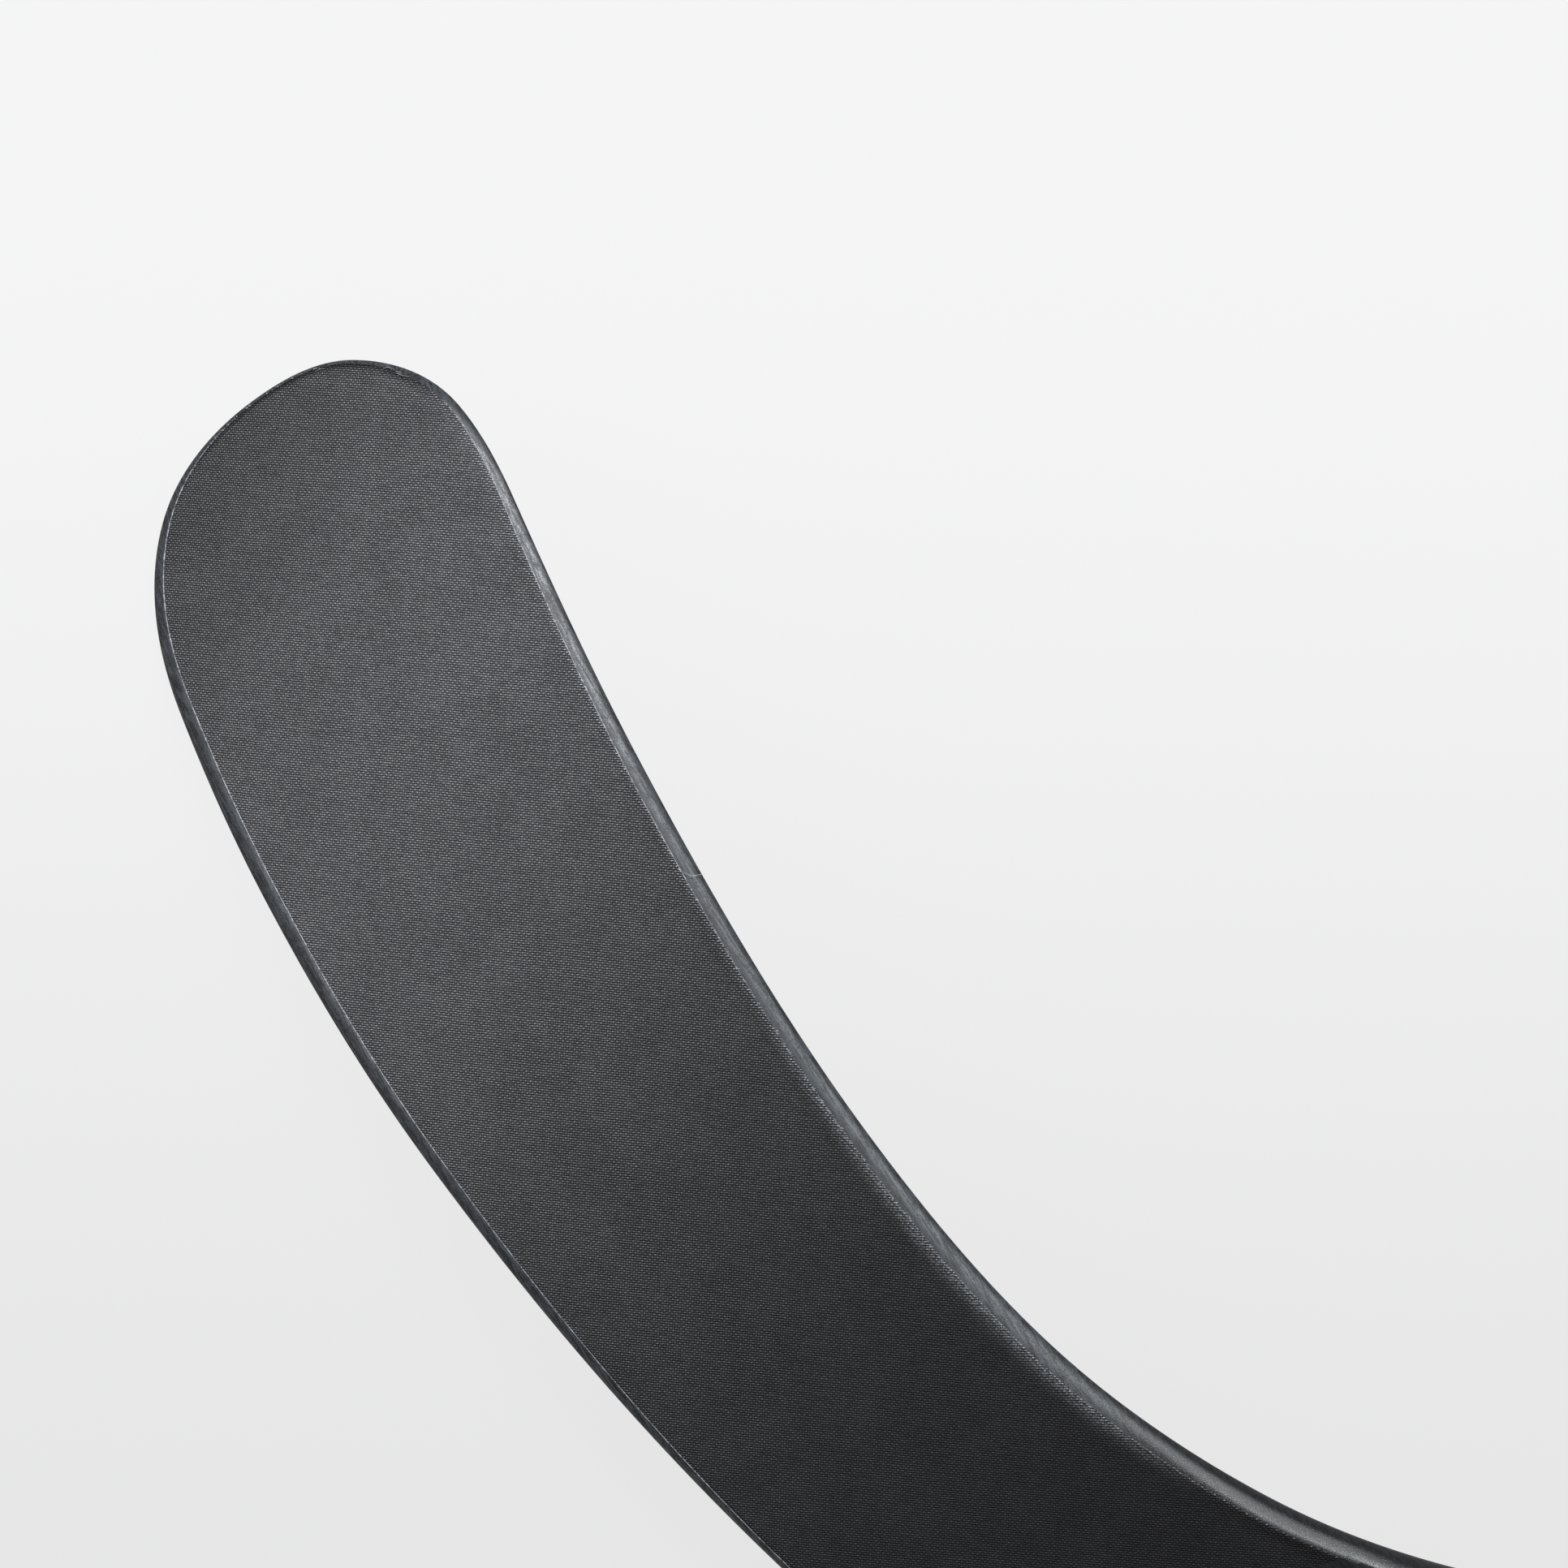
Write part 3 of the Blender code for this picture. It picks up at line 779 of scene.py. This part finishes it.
def resin_line(name, material, up):
    """A fine line of pale resin along the cloth's border."""
    body = Body()
    sign = 1.0 if up else -1.0
    path, radii = [], []
    for place, height, direction in cloth_border(BEAD_INSET):
        wobble = noise.noise(Vector((place.x, place.y, 0.0)) * BEAD_WOBBLE)
        down = TOE_DISTANCE - place.dot(BLADE_AXIS)
        on_top = direction.x > TOP_DIRECTION
        if on_top and down > BEAD_END:
            break
        lost = BEAD_TOP_LOSS if on_top else BEAD_BOTTOM_LOSS
        fade = 1.0 - lost * smooth((down - BEAD_FADE_START) / BEAD_FADE)
        crown = smooth((place.y - BEAD_CROWN_Y) / BEAD_CROWN_FADE)
        crown *= smooth((BEAD_CROWN_X - place.x) / BEAD_CROWN_FADE)
        fade *= 1.0 - BEAD_CROWN_LOSS * crown
        path.append((place, sign * height))
        radii.append(BEAD_RADIUS * fade * (0.75 + 0.5 * wobble))
    tube(body, path, radii, BEAD_SIDES)
    return body.finish(name, material)


def thread_ends(material):
    """Cut ends of the cloth's cross threads, along its top border."""
    body = Body()
    chance = random.Random(THREAD_SEED)
    row = Vector((math.cos(WEAVE_TURN), math.sin(WEAVE_TURN)))
    travelled = 0.0
    line = cloth_border(THREAD_INSET)
    for (place, height, direction), (after, _, _) in zip(line, line[1:]):
        travelled += (after - place).length
        on_top = direction.x > TOP_DIRECTION and THREAD_FIRST_Y < place.y < THREAD_LAST_Y
        while travelled > THREAD_SPACING:
            travelled -= THREAD_SPACING
            if not on_top or chance.random() < THREAD_MISSING:
                continue
            length = chance.uniform(*THREAD_LENGTHS)
            start = place.lerp(after, chance.random()) - row * THREAD_BACK
            lean = row.lerp(direction, chance.uniform(-THREAD_LEAN, THREAD_LEAN)).normalized()
            path = []
            for t in (0.0, 0.5, 1.0):
                path.append((start + lean * length * t, height + THREAD_RISE * (1 - t)))
            thick = chance.uniform(*THREAD_RADII)
            tube(body, path, (thick, thick, thick * THREAD_TIP), THREAD_SIDES)
    return body.finish("thread_ends", material)


def lifted(place, height, clearance):
    """A fibre's height, raised where the stick's surface would otherwise hide it."""
    index = min(range(len(OUTLINE)), key=lambda i: (OUTLINE[i] - place).length_squared)
    inset = (place - OUTLINE[index]).dot(inward(OUTLINE_TANGENTS[index]))
    if inset < 0.0:
        return height
    return max(height, surface_height(place, inset, OUTLINE_EDGES[index]) + clearance)


def loose_fibre(name, material, points, thickness):
    """One fine loose fibre that lies on the surface: points are (x, y, height over the middle), in mm."""
    body = Body()
    path = []
    for (x0, y0, z0), (x1, y1, z1) in zip(points, points[1:]):
        for step in range(FIBRE_STEPS):
            t = step / FIBRE_STEPS
            place = Vector((x0 + (x1 - x0) * t, y0 + (y1 - y0) * t)) * MM
            path.append((place, lifted(place, (z0 + (z1 - z0) * t) * MM, thickness)))
    last = Vector(points[-1][:2]) * MM
    path.append((last, lifted(last, points[-1][2] * MM, thickness)))
    count = len(path)
    radii = [thickness * (1.0 - FIBRE_TAPER * abs(2 * i / (count - 1) - 1.0)) for i in range(count)]
    tube(body, path, radii, FIBRE_SIDES)
    return body.finish(name, material)


# ---------------------------------------------------------------- materials


class Nodes:
    """Small helper that adds nodes to a material and links them."""

    def __init__(self, name, roughness):
        self.material = bpy.data.materials.new(name)
        self.material.use_nodes = True
        self.tree = self.material.node_tree
        self.shader = self.tree.nodes["Principled BSDF"]
        self.shader.inputs["Roughness"].default_value = roughness

    def add(self, kind, **settings):
        node = self.tree.nodes.new(kind)
        for key, value in settings.items():
            setattr(node, key, value)
        return node

    def link(self, value, socket):
        if isinstance(value, (int, float, tuple)):
            socket.default_value = value
        else:
            self.tree.links.new(value, socket)

    def math(self, operation, *values, clamp=False):
        node = self.add("ShaderNodeMath", operation=operation, use_clamp=clamp)
        for value, socket in zip(values, node.inputs):
            self.link(value, socket)
        return node.outputs[0]

    def plan(self):
        """Each point's place in the flat plan, in millimetres."""
        return self.add("ShaderNodeAttribute", attribute_name="plan").outputs["Vector"]

    def edge_distance(self):
        """Each point's inset from its piece's border, in millimetres."""
        return self.add("ShaderNodeAttribute", attribute_name="edge").outputs["Fac"]

    def noise(self, vector, scale, detail=2.0, rough=0.5):
        node = self.add("ShaderNodeTexNoise")
        self.link(vector, node.inputs["Vector"])
        node.inputs["Scale"].default_value = scale
        node.inputs["Detail"].default_value = detail
        node.inputs["Roughness"].default_value = rough
        return node.outputs["Fac"]

    def range(self, value, low, high, to_low=0.0, to_high=1.0):
        node = self.add("ShaderNodeMapRange", interpolation_type="SMOOTHSTEP")
        for socket, item in zip(node.inputs, (value, low, high, to_low, to_high)):
            self.link(item, socket)
        return node.outputs[0]

    def mix_number(self, factor, first, second):
        node = self.add("ShaderNodeMix", data_type="FLOAT")
        for socket, item in zip(node.inputs[:1] + node.inputs[2:4], (factor, first, second)):
            self.link(item, socket)
        return node.outputs[0]

    def mix_colour(self, factor, first, second):
        node = self.add("ShaderNodeMix", data_type="RGBA")
        self.link(factor, node.inputs[0])
        self.link(first, node.inputs[6])
        self.link(second, node.inputs[7])
        return node.outputs[2]

    def bump(self, height, distance, strength=1.0, normal=None):
        node = self.add("ShaderNodeBump")
        node.inputs["Strength"].default_value = strength
        node.inputs["Distance"].default_value = distance
        self.link(height, node.inputs["Height"])
        if normal is not None:
            self.link(normal, node.inputs["Normal"])
        return node.outputs["Normal"]

    def set(self, name, value):
        self.link(value, self.shader.inputs[name])


def grey(level, blue=0.0):
    """A near-neutral colour with a little blue in it."""
    return (level * (1.0 - blue), level, level * (1.0 + blue * 1.5), 1.0)


def weave_places(nodes):
    """Positions counted in yarns: along the rows and across them, with a little drift of the yarns."""
    split = nodes.add("ShaderNodeSeparateXYZ")
    plan = nodes.plan()
    nodes.link(plan, split.inputs[0])
    x, y = split.outputs[0], split.outputs[1]
    slow = nodes.math("MULTIPLY_ADD", nodes.noise(plan, 0.03, 1.0), SLOW_DRIFT, -SLOW_DRIFT / 2)
    quick = nodes.math("MULTIPLY_ADD", nodes.noise(plan, 0.9, 1.0), QUICK_DRIFT, -QUICK_DRIFT / 2)
    drift = nodes.math("ADD", slow, quick)
    cosine, sine = math.cos(WEAVE_TURN), math.sin(WEAVE_TURN)
    along = nodes.math("ADD", nodes.math("MULTIPLY", x, cosine), nodes.math("MULTIPLY", y, sine))
    over = nodes.math("SUBTRACT", nodes.math("MULTIPLY", y, cosine), nodes.math("MULTIPLY", x, sine))
    along = nodes.math("MULTIPLY", nodes.math("ADD", along, drift), 1.0 / WEAVE_ACROSS)
    over = nodes.math("MULTIPLY", nodes.math("ADD", over, drift), 1.0 / WEAVE_ROWS)
    return along, over


def weave_pattern(nodes):
    """Painted glint on a plain weave's yarn crests, with painted shade in its gaps and on yarns that lie
    under, and its height, both from 0 to 1.
    """
    along, over = weave_places(nodes)
    wave_u = nodes.math("COSINE", nodes.math("MULTIPLY", along, math.pi))
    wave_v = nodes.math("COSINE", nodes.math("MULTIPLY", over, math.pi))
    size_u = nodes.math("ABSOLUTE", wave_u)
    size_v = nodes.math("ABSOLUTE", wave_v)
    crossing = nodes.math("MULTIPLY", wave_u, wave_v)
    on_top = nodes.math("MULTIPLY_ADD", crossing, CROSSING_CONTRAST, 0.5, clamp=True)
    row = nodes.math("POWER", size_v, ROW_POWER)
    yarn = nodes.math("MULTIPLY", row, nodes.math("MULTIPLY_ADD", size_u, YARN_RISE, YARN_LOW))
    cell = nodes.add("ShaderNodeCombineXYZ")
    nodes.link(nodes.math("ROUND", along), cell.inputs[0])
    nodes.link(nodes.math("ROUND", over), cell.inputs[1])
    chance = nodes.add("ShaderNodeTexWhiteNoise", noise_dimensions="2D")
    nodes.link(cell.outputs[0], chance.inputs["Vector"])
    pick = nodes.math("MULTIPLY_ADD", chance.outputs["Value"], PICK_SPREAD, PICK_LOW)
    # Painted glint on the crests of the yarns on top, painted shade in the gaps and on the yarns that lie
    # under.
    glint_and_gap_shade = nodes.math("MULTIPLY", yarn, nodes.mix_number(on_top, UNDER_YARN_SHADE, 1.0))
    glint_and_gap_shade = nodes.math("MULTIPLY", glint_and_gap_shade, pick)
    height = nodes.math("MULTIPLY", yarn, nodes.mix_number(on_top, UNDER_HEIGHT, 1.0))
    return glint_and_gap_shade, height


def border_sheen_flecks(nodes, plan):
    """Pale flecks of painted sheen along the lit top border of the cloth on the heel's half of the blade,
    from 0 to 1.
    """
    split = nodes.add("ShaderNodeSeparateXYZ")
    nodes.link(plan, split.inputs[0])
    x, y = split.outputs[0], split.outputs[1]
    upward = nodes.math("MULTIPLY_ADD", x, FLECK_UPWARD[0], nodes.math("MULTIPLY", y, FLECK_UPWARD[1]))
    top_side = nodes.range(upward, *FLECK_TOP_ZONE)
    heel_half = nodes.range(x, *FLECK_START_ZONE)
    heel_half = nodes.math("MULTIPLY", heel_half, nodes.range(x, *FLECK_END_ZONE, 1.0, 0.0))
    near = nodes.range(nodes.edge_distance(), *FLECK_REACH, 1.0, 0.0)
    spots = nodes.range(nodes.noise(plan, 1.7, 3.0, 0.75), 0.48, 0.62)
    zone = nodes.math("MULTIPLY", nodes.math("MULTIPLY", top_side, heel_half), near)
    return nodes.math("MULTIPLY", zone, spots)


def woven_material():
    """Black cloth in resin: a fine plain weave whose row yarns get a painted glint and whose gaps and under
    yarns get painted shade.
    """
    nodes = Nodes("woven_face", 0.42)
    glint_and_gap_shade, height = weave_pattern(nodes)
    plan = nodes.plan()
    stretch = nodes.add("ShaderNodeMapping", vector_type="TEXTURE")
    stretch.inputs["Rotation"].default_value = (0.0, 0.0, WEAVE_TURN)
    stretch.inputs["Scale"].default_value = (2.9, 0.45, 1.0)
    nodes.link(plan, stretch.inputs["Vector"])
    rows = nodes.range(nodes.noise(stretch.outputs[0], 1.0, 2.0), 0.3, 0.7, 0.90, 1.10)
    patch = nodes.range(nodes.noise(plan, 0.09, 3.0, 0.6), 0.3, 0.7, 0.92, 1.08)
    level = nodes.math("MULTIPLY", nodes.math("MULTIPLY", glint_and_gap_shade, rows), patch)
    # The cloth's colour carries the weave's painted glint and painted shade.
    colour = nodes.mix_colour(level, CLOTH_DARK, CLOTH_GLINT)
    # Pale flecks paint sheen along the cloth's lit top border.
    colour = nodes.mix_colour(border_sheen_flecks(nodes, plan), colour, SHEEN_FLECK_COLOUR)
    nodes.set("Base Color", colour)
    nodes.set("Metallic", CLOTH_METALLIC)
    nodes.set("Roughness", nodes.range(glint_and_gap_shade, 0.0, 0.8, 0.48, 0.33))
    nodes.set("Normal", nodes.bump(height, CLOTH_BUMP, 0.8))
    return nodes.material


def band_material(name, roughness, low, high):
    """Smooth moulded edge: satin resin with a dusty mottle and faint streaks along the blade."""
    nodes = Nodes(name, roughness)
    plan = nodes.plan()
    stretch = nodes.add("ShaderNodeMapping", vector_type="TEXTURE")
    stretch.inputs["Rotation"].default_value = (0.0, 0.0, STREAK_TURN)
    stretch.inputs["Scale"].default_value = (4.5, 0.42, 1.0)
    nodes.link(plan, stretch.inputs["Vector"])
    streak = nodes.noise(stretch.outputs[0], 1.0, 3.0, 0.65)
    mottle = nodes.noise(plan, 0.7, 4.0, 0.7)
    fine = nodes.noise(plan, 3.2, 3.0, 0.65)
    broad = nodes.math("MULTIPLY_ADD", streak, 0.75, nodes.math("MULTIPLY", mottle, 0.25))
    mixed = nodes.math("MULTIPLY_ADD", fine, 0.35, nodes.math("MULTIPLY", broad, 0.65))
    colour = nodes.mix_colour(nodes.range(mixed, 0.43, 0.58), low, high)
    place = nodes.add("ShaderNodeSeparateXYZ")
    nodes.link(plan, place.inputs[0])
    dark = nodes.range(place.outputs[0], *LACQUER_ZONE, 0.0, LACQUER_SHARE)
    nodes.set("Base Color", nodes.mix_colour(dark, colour, HEEL_LACQUER))
    polish = nodes.range(place.outputs[0], *POLISH_ZONE, 0.0, POLISH)
    grain = nodes.mix_number(nodes.range(place.outputs[0], *GRAIN_ZONE), mixed, fine)
    rough = nodes.range(grain, 0.42, 0.58, roughness + 0.14, roughness - 0.07)
    nodes.set("Roughness", nodes.math("SUBTRACT", rough, polish))
    nodes.set("Normal", nodes.bump(grain, BAND_BUMP, 0.7))
    return nodes.material


def fibre_material():
    """White loose fibres."""
    nodes = Nodes("loose_fibre", 0.5)
    plan = nodes.plan()
    fleck = nodes.noise(plan, 1.3, 2.0, 0.5)
    pale = nodes.range(fleck, 0.35, 0.65)
    nodes.set("Base Color", nodes.mix_colour(pale, grey(0.30, 0.03), grey(0.50, 0.02)))
    return nodes.material


def thread_material():
    """Pale thread ends and the fine line of resin along the cloth."""
    nodes = Nodes("pale_thread", 0.45)
    plan = nodes.plan()
    fleck = nodes.noise(plan, 1.7, 3.0, 0.6)
    pale = nodes.range(fleck, 0.35, 0.65)
    nodes.set("Base Color", nodes.mix_colour(pale, grey(0.10, 0.05), grey(0.42, 0.05)))
    nodes.set("Roughness", nodes.range(fleck, 0.3, 0.7, 0.35, 0.6))
    nodes.set("Normal", nodes.bump(fleck, 0.00003, 0.4))
    return nodes.material


def foam_material():
    """Rigid foam with small cells."""
    nodes = Nodes("core_foam_cells", 0.9)
    place = nodes.add("ShaderNodeTexCoord").outputs["Object"]
    cells = nodes.add("ShaderNodeTexVoronoi")
    nodes.link(place, cells.inputs["Vector"])
    cells.inputs["Scale"].default_value = 900.0
    nodes.set("Base Color", nodes.mix_colour(cells.outputs["Distance"], grey(0.30), grey(0.50)))
    nodes.set("Normal", nodes.bump(cells.outputs["Distance"], 0.0003, 0.6))
    return nodes.material


def laminate_material():
    """Plain laminate inside the stick."""
    nodes = Nodes("inner_laminate", 0.5)
    place = nodes.add("ShaderNodeTexCoord").outputs["Object"]
    streak = nodes.noise(place, 400.0, 2.0)
    nodes.set("Base Color", nodes.mix_colour(streak, grey(0.02), grey(0.05)))
    nodes.set("Normal", nodes.bump(streak, 0.0001, 0.3))
    return nodes.material


def rubber_material():
    """Matt black rubber with a fine grain."""
    nodes = Nodes("cap_rubber_grain", 0.7)
    plan = nodes.plan()
    grain = nodes.noise(plan, 2.5, 3.0, 0.6)
    nodes.set("Base Color", nodes.mix_colour(grain, grey(0.012), grey(0.030)))
    nodes.set("Roughness", nodes.range(grain, 0.3, 0.7, 0.6, 0.85))
    nodes.set("Normal", nodes.bump(grain, 0.00005, 0.6))
    return nodes.material


# ---------------------------------------------------------------- stage, light and camera


def floor():
    """A pale floor, a little darker toward the front; it glows, so it takes no shadow and lights little."""
    bpy.ops.mesh.primitive_plane_add(size=FLOOR_SIZE, location=(0.0, 0.0, -FLOOR_DROP))
    made = bpy.context.object
    made.name = "studio_floor"
    nodes = Nodes("studio_floor", 0.9)
    nodes.shader.inputs["Base Color"].default_value = (0.02, 0.02, 0.02, 1.0)
    nodes.shader.inputs["Specular IOR Level"].default_value = 0.0
    nodes.shader.inputs["Emission Color"].default_value = (1.0, 1.0, 1.0, 1.0)
    place = nodes.add("ShaderNodeSeparateXYZ")
    nodes.link(nodes.add("ShaderNodeNewGeometry").outputs["Position"], place.inputs[0])
    fade = nodes.math("MULTIPLY_ADD", place.outputs[0], -0.15, place.outputs[1])
    seen = nodes.range(fade, -0.02, 0.28, FLOOR_BOTTOM, FLOOR_TOP)
    camera_ray = nodes.add("ShaderNodeLightPath").outputs["Is Camera Ray"]
    nodes.set("Emission Strength", nodes.mix_number(camera_ray, FLOOR_REFLECTED, seen))
    made.data.materials.append(nodes.material)


def softbox(name, place, target, width, height, radiance, colour):
    """A soft area light that points at a place."""
    data = bpy.data.lights.new(name, "AREA")
    data.shape = "RECTANGLE"
    data.size = width
    data.size_y = height
    data.energy = radiance * math.pi * width * height
    data.color = colour
    made = bpy.data.objects.new(name, data)
    made.location = place
    made.rotation_euler = (Vector(target) - Vector(place)).to_track_quat("-Z", "Y").to_euler()
    made.visible_camera = False
    bpy.context.scene.collection.objects.link(made)


def studio_world():
    """Dim surroundings for reflections, and a pale backdrop where the camera sees past the floor."""
    world = bpy.data.worlds.new("studio")
    bpy.context.scene.world = world
    world.use_nodes = True
    tree = world.node_tree
    tree.nodes.clear()
    dim = tree.nodes.new("ShaderNodeBackground")
    dim.inputs["Color"].default_value = (1.0, 0.96, 1.0, 1.0)
    dim.inputs["Strength"].default_value = WORLD_DIM
    pale = tree.nodes.new("ShaderNodeBackground")
    pale.inputs["Color"].default_value = (0.84, 0.85, 0.86, 1.0)
    pale.inputs["Strength"].default_value = 1.0
    path = tree.nodes.new("ShaderNodeLightPath")
    mix = tree.nodes.new("ShaderNodeMixShader")
    output = tree.nodes.new("ShaderNodeOutputWorld")
    tree.links.new(path.outputs["Is Camera Ray"], mix.inputs[0])
    tree.links.new(dim.outputs[0], mix.inputs[1])
    tree.links.new(pale.outputs[0], mix.inputs[2])
    tree.links.new(mix.outputs[0], output.inputs[0])


def camera():
    """The camera looks almost straight down at the blade."""
    data = bpy.data.cameras.new("camera")
    data.lens = CAMERA_LENS
    data.sensor_width = SENSOR_WIDTH
    data.clip_start = 0.02
    data.clip_end = 200.0
    made = bpy.data.objects.new("camera", data)
    made.location = CAMERA_PLACE
    made.rotation_euler = [math.radians(angle) for angle in CAMERA_TURN]
    bpy.context.scene.collection.objects.link(made)
    bpy.context.scene.camera = made


def lights():
    """Large soft lights beside the toe and past the top edge, a fill at the toe and a strip at the heel."""
    blade = (-0.76, 0.02, 0.02)
    toe = (-0.78, 0.1, 0.02)
    heel = (-0.62, -0.1, 0.02)
    softbox("toe_side_softbox", (-1.77, 0.02, 1.07), blade, 1.7, 1.1, 3.25, (0.94, 0.97, 1.0))
    softbox("toe_fill_softbox", (-1.02, 0.62, 1.08), toe, 0.55, 0.8, 3.0, (0.95, 0.97, 1.0))
    softbox("top_side_softbox", (0.30, 0.68, 1.06), blade, 1.5, 0.70, 4.1, (0.93, 0.98, 1.0))
    softbox("heel_softbox", (-0.54, 0.9, 1.28), heel, 0.9, 0.22, 27.0, (0.95, 0.97, 1.0))
    bpy.context.scene.view_settings.view_transform = "Standard"


FOAM_NODES = ("core_toe_insert", "core_foam_upper", "core_foam_lower", "hosel_filler", "shaft_foam_plug")
LAMINATE_NODES = ("core_rib", "shaft_inner_ply")


def main():
    """Builds every piece, gives the inner CAD pieces their materials and sets the stage."""
    woven = woven_material()
    band = band_material("moulded_band", 0.32, grey(0.010, 0.06), grey(0.064, 0.08))
    lacquer = band_material("hosel_lacquer", 0.30, grey(0.016, 0.06), grey(0.060, 0.08))
    foam = foam_material()
    laminate = laminate_material()
    thread = thread_material()
    fibre = fibre_material()

    edge_band(band)
    blade_cloth("blade_back_cloth", woven, True, ["blade_face_back"])
    blade_cloth("blade_front_cloth", woven, False, ["blade_face_front"])
    resin_line("back_resin_line", thread, up=True)
    resin_line("front_resin_line", thread, up=False)
    thread_ends(thread)
    for name, points in FIBRES.items():
        loose_fibre(name, fibre, points, FIBRE_RADIUS)
    hosel(lacquer)
    shaft(lacquer)
    butt_cap(rubber_material())
    for material, names in ((foam, FOAM_NODES), (laminate, LAMINATE_NODES)):
        for name in names:
            slots = frame["nodes"][name].data.materials
            slots.clear()
            slots.append(material)

    floor()
    studio_world()
    lights()
    camera()


main()
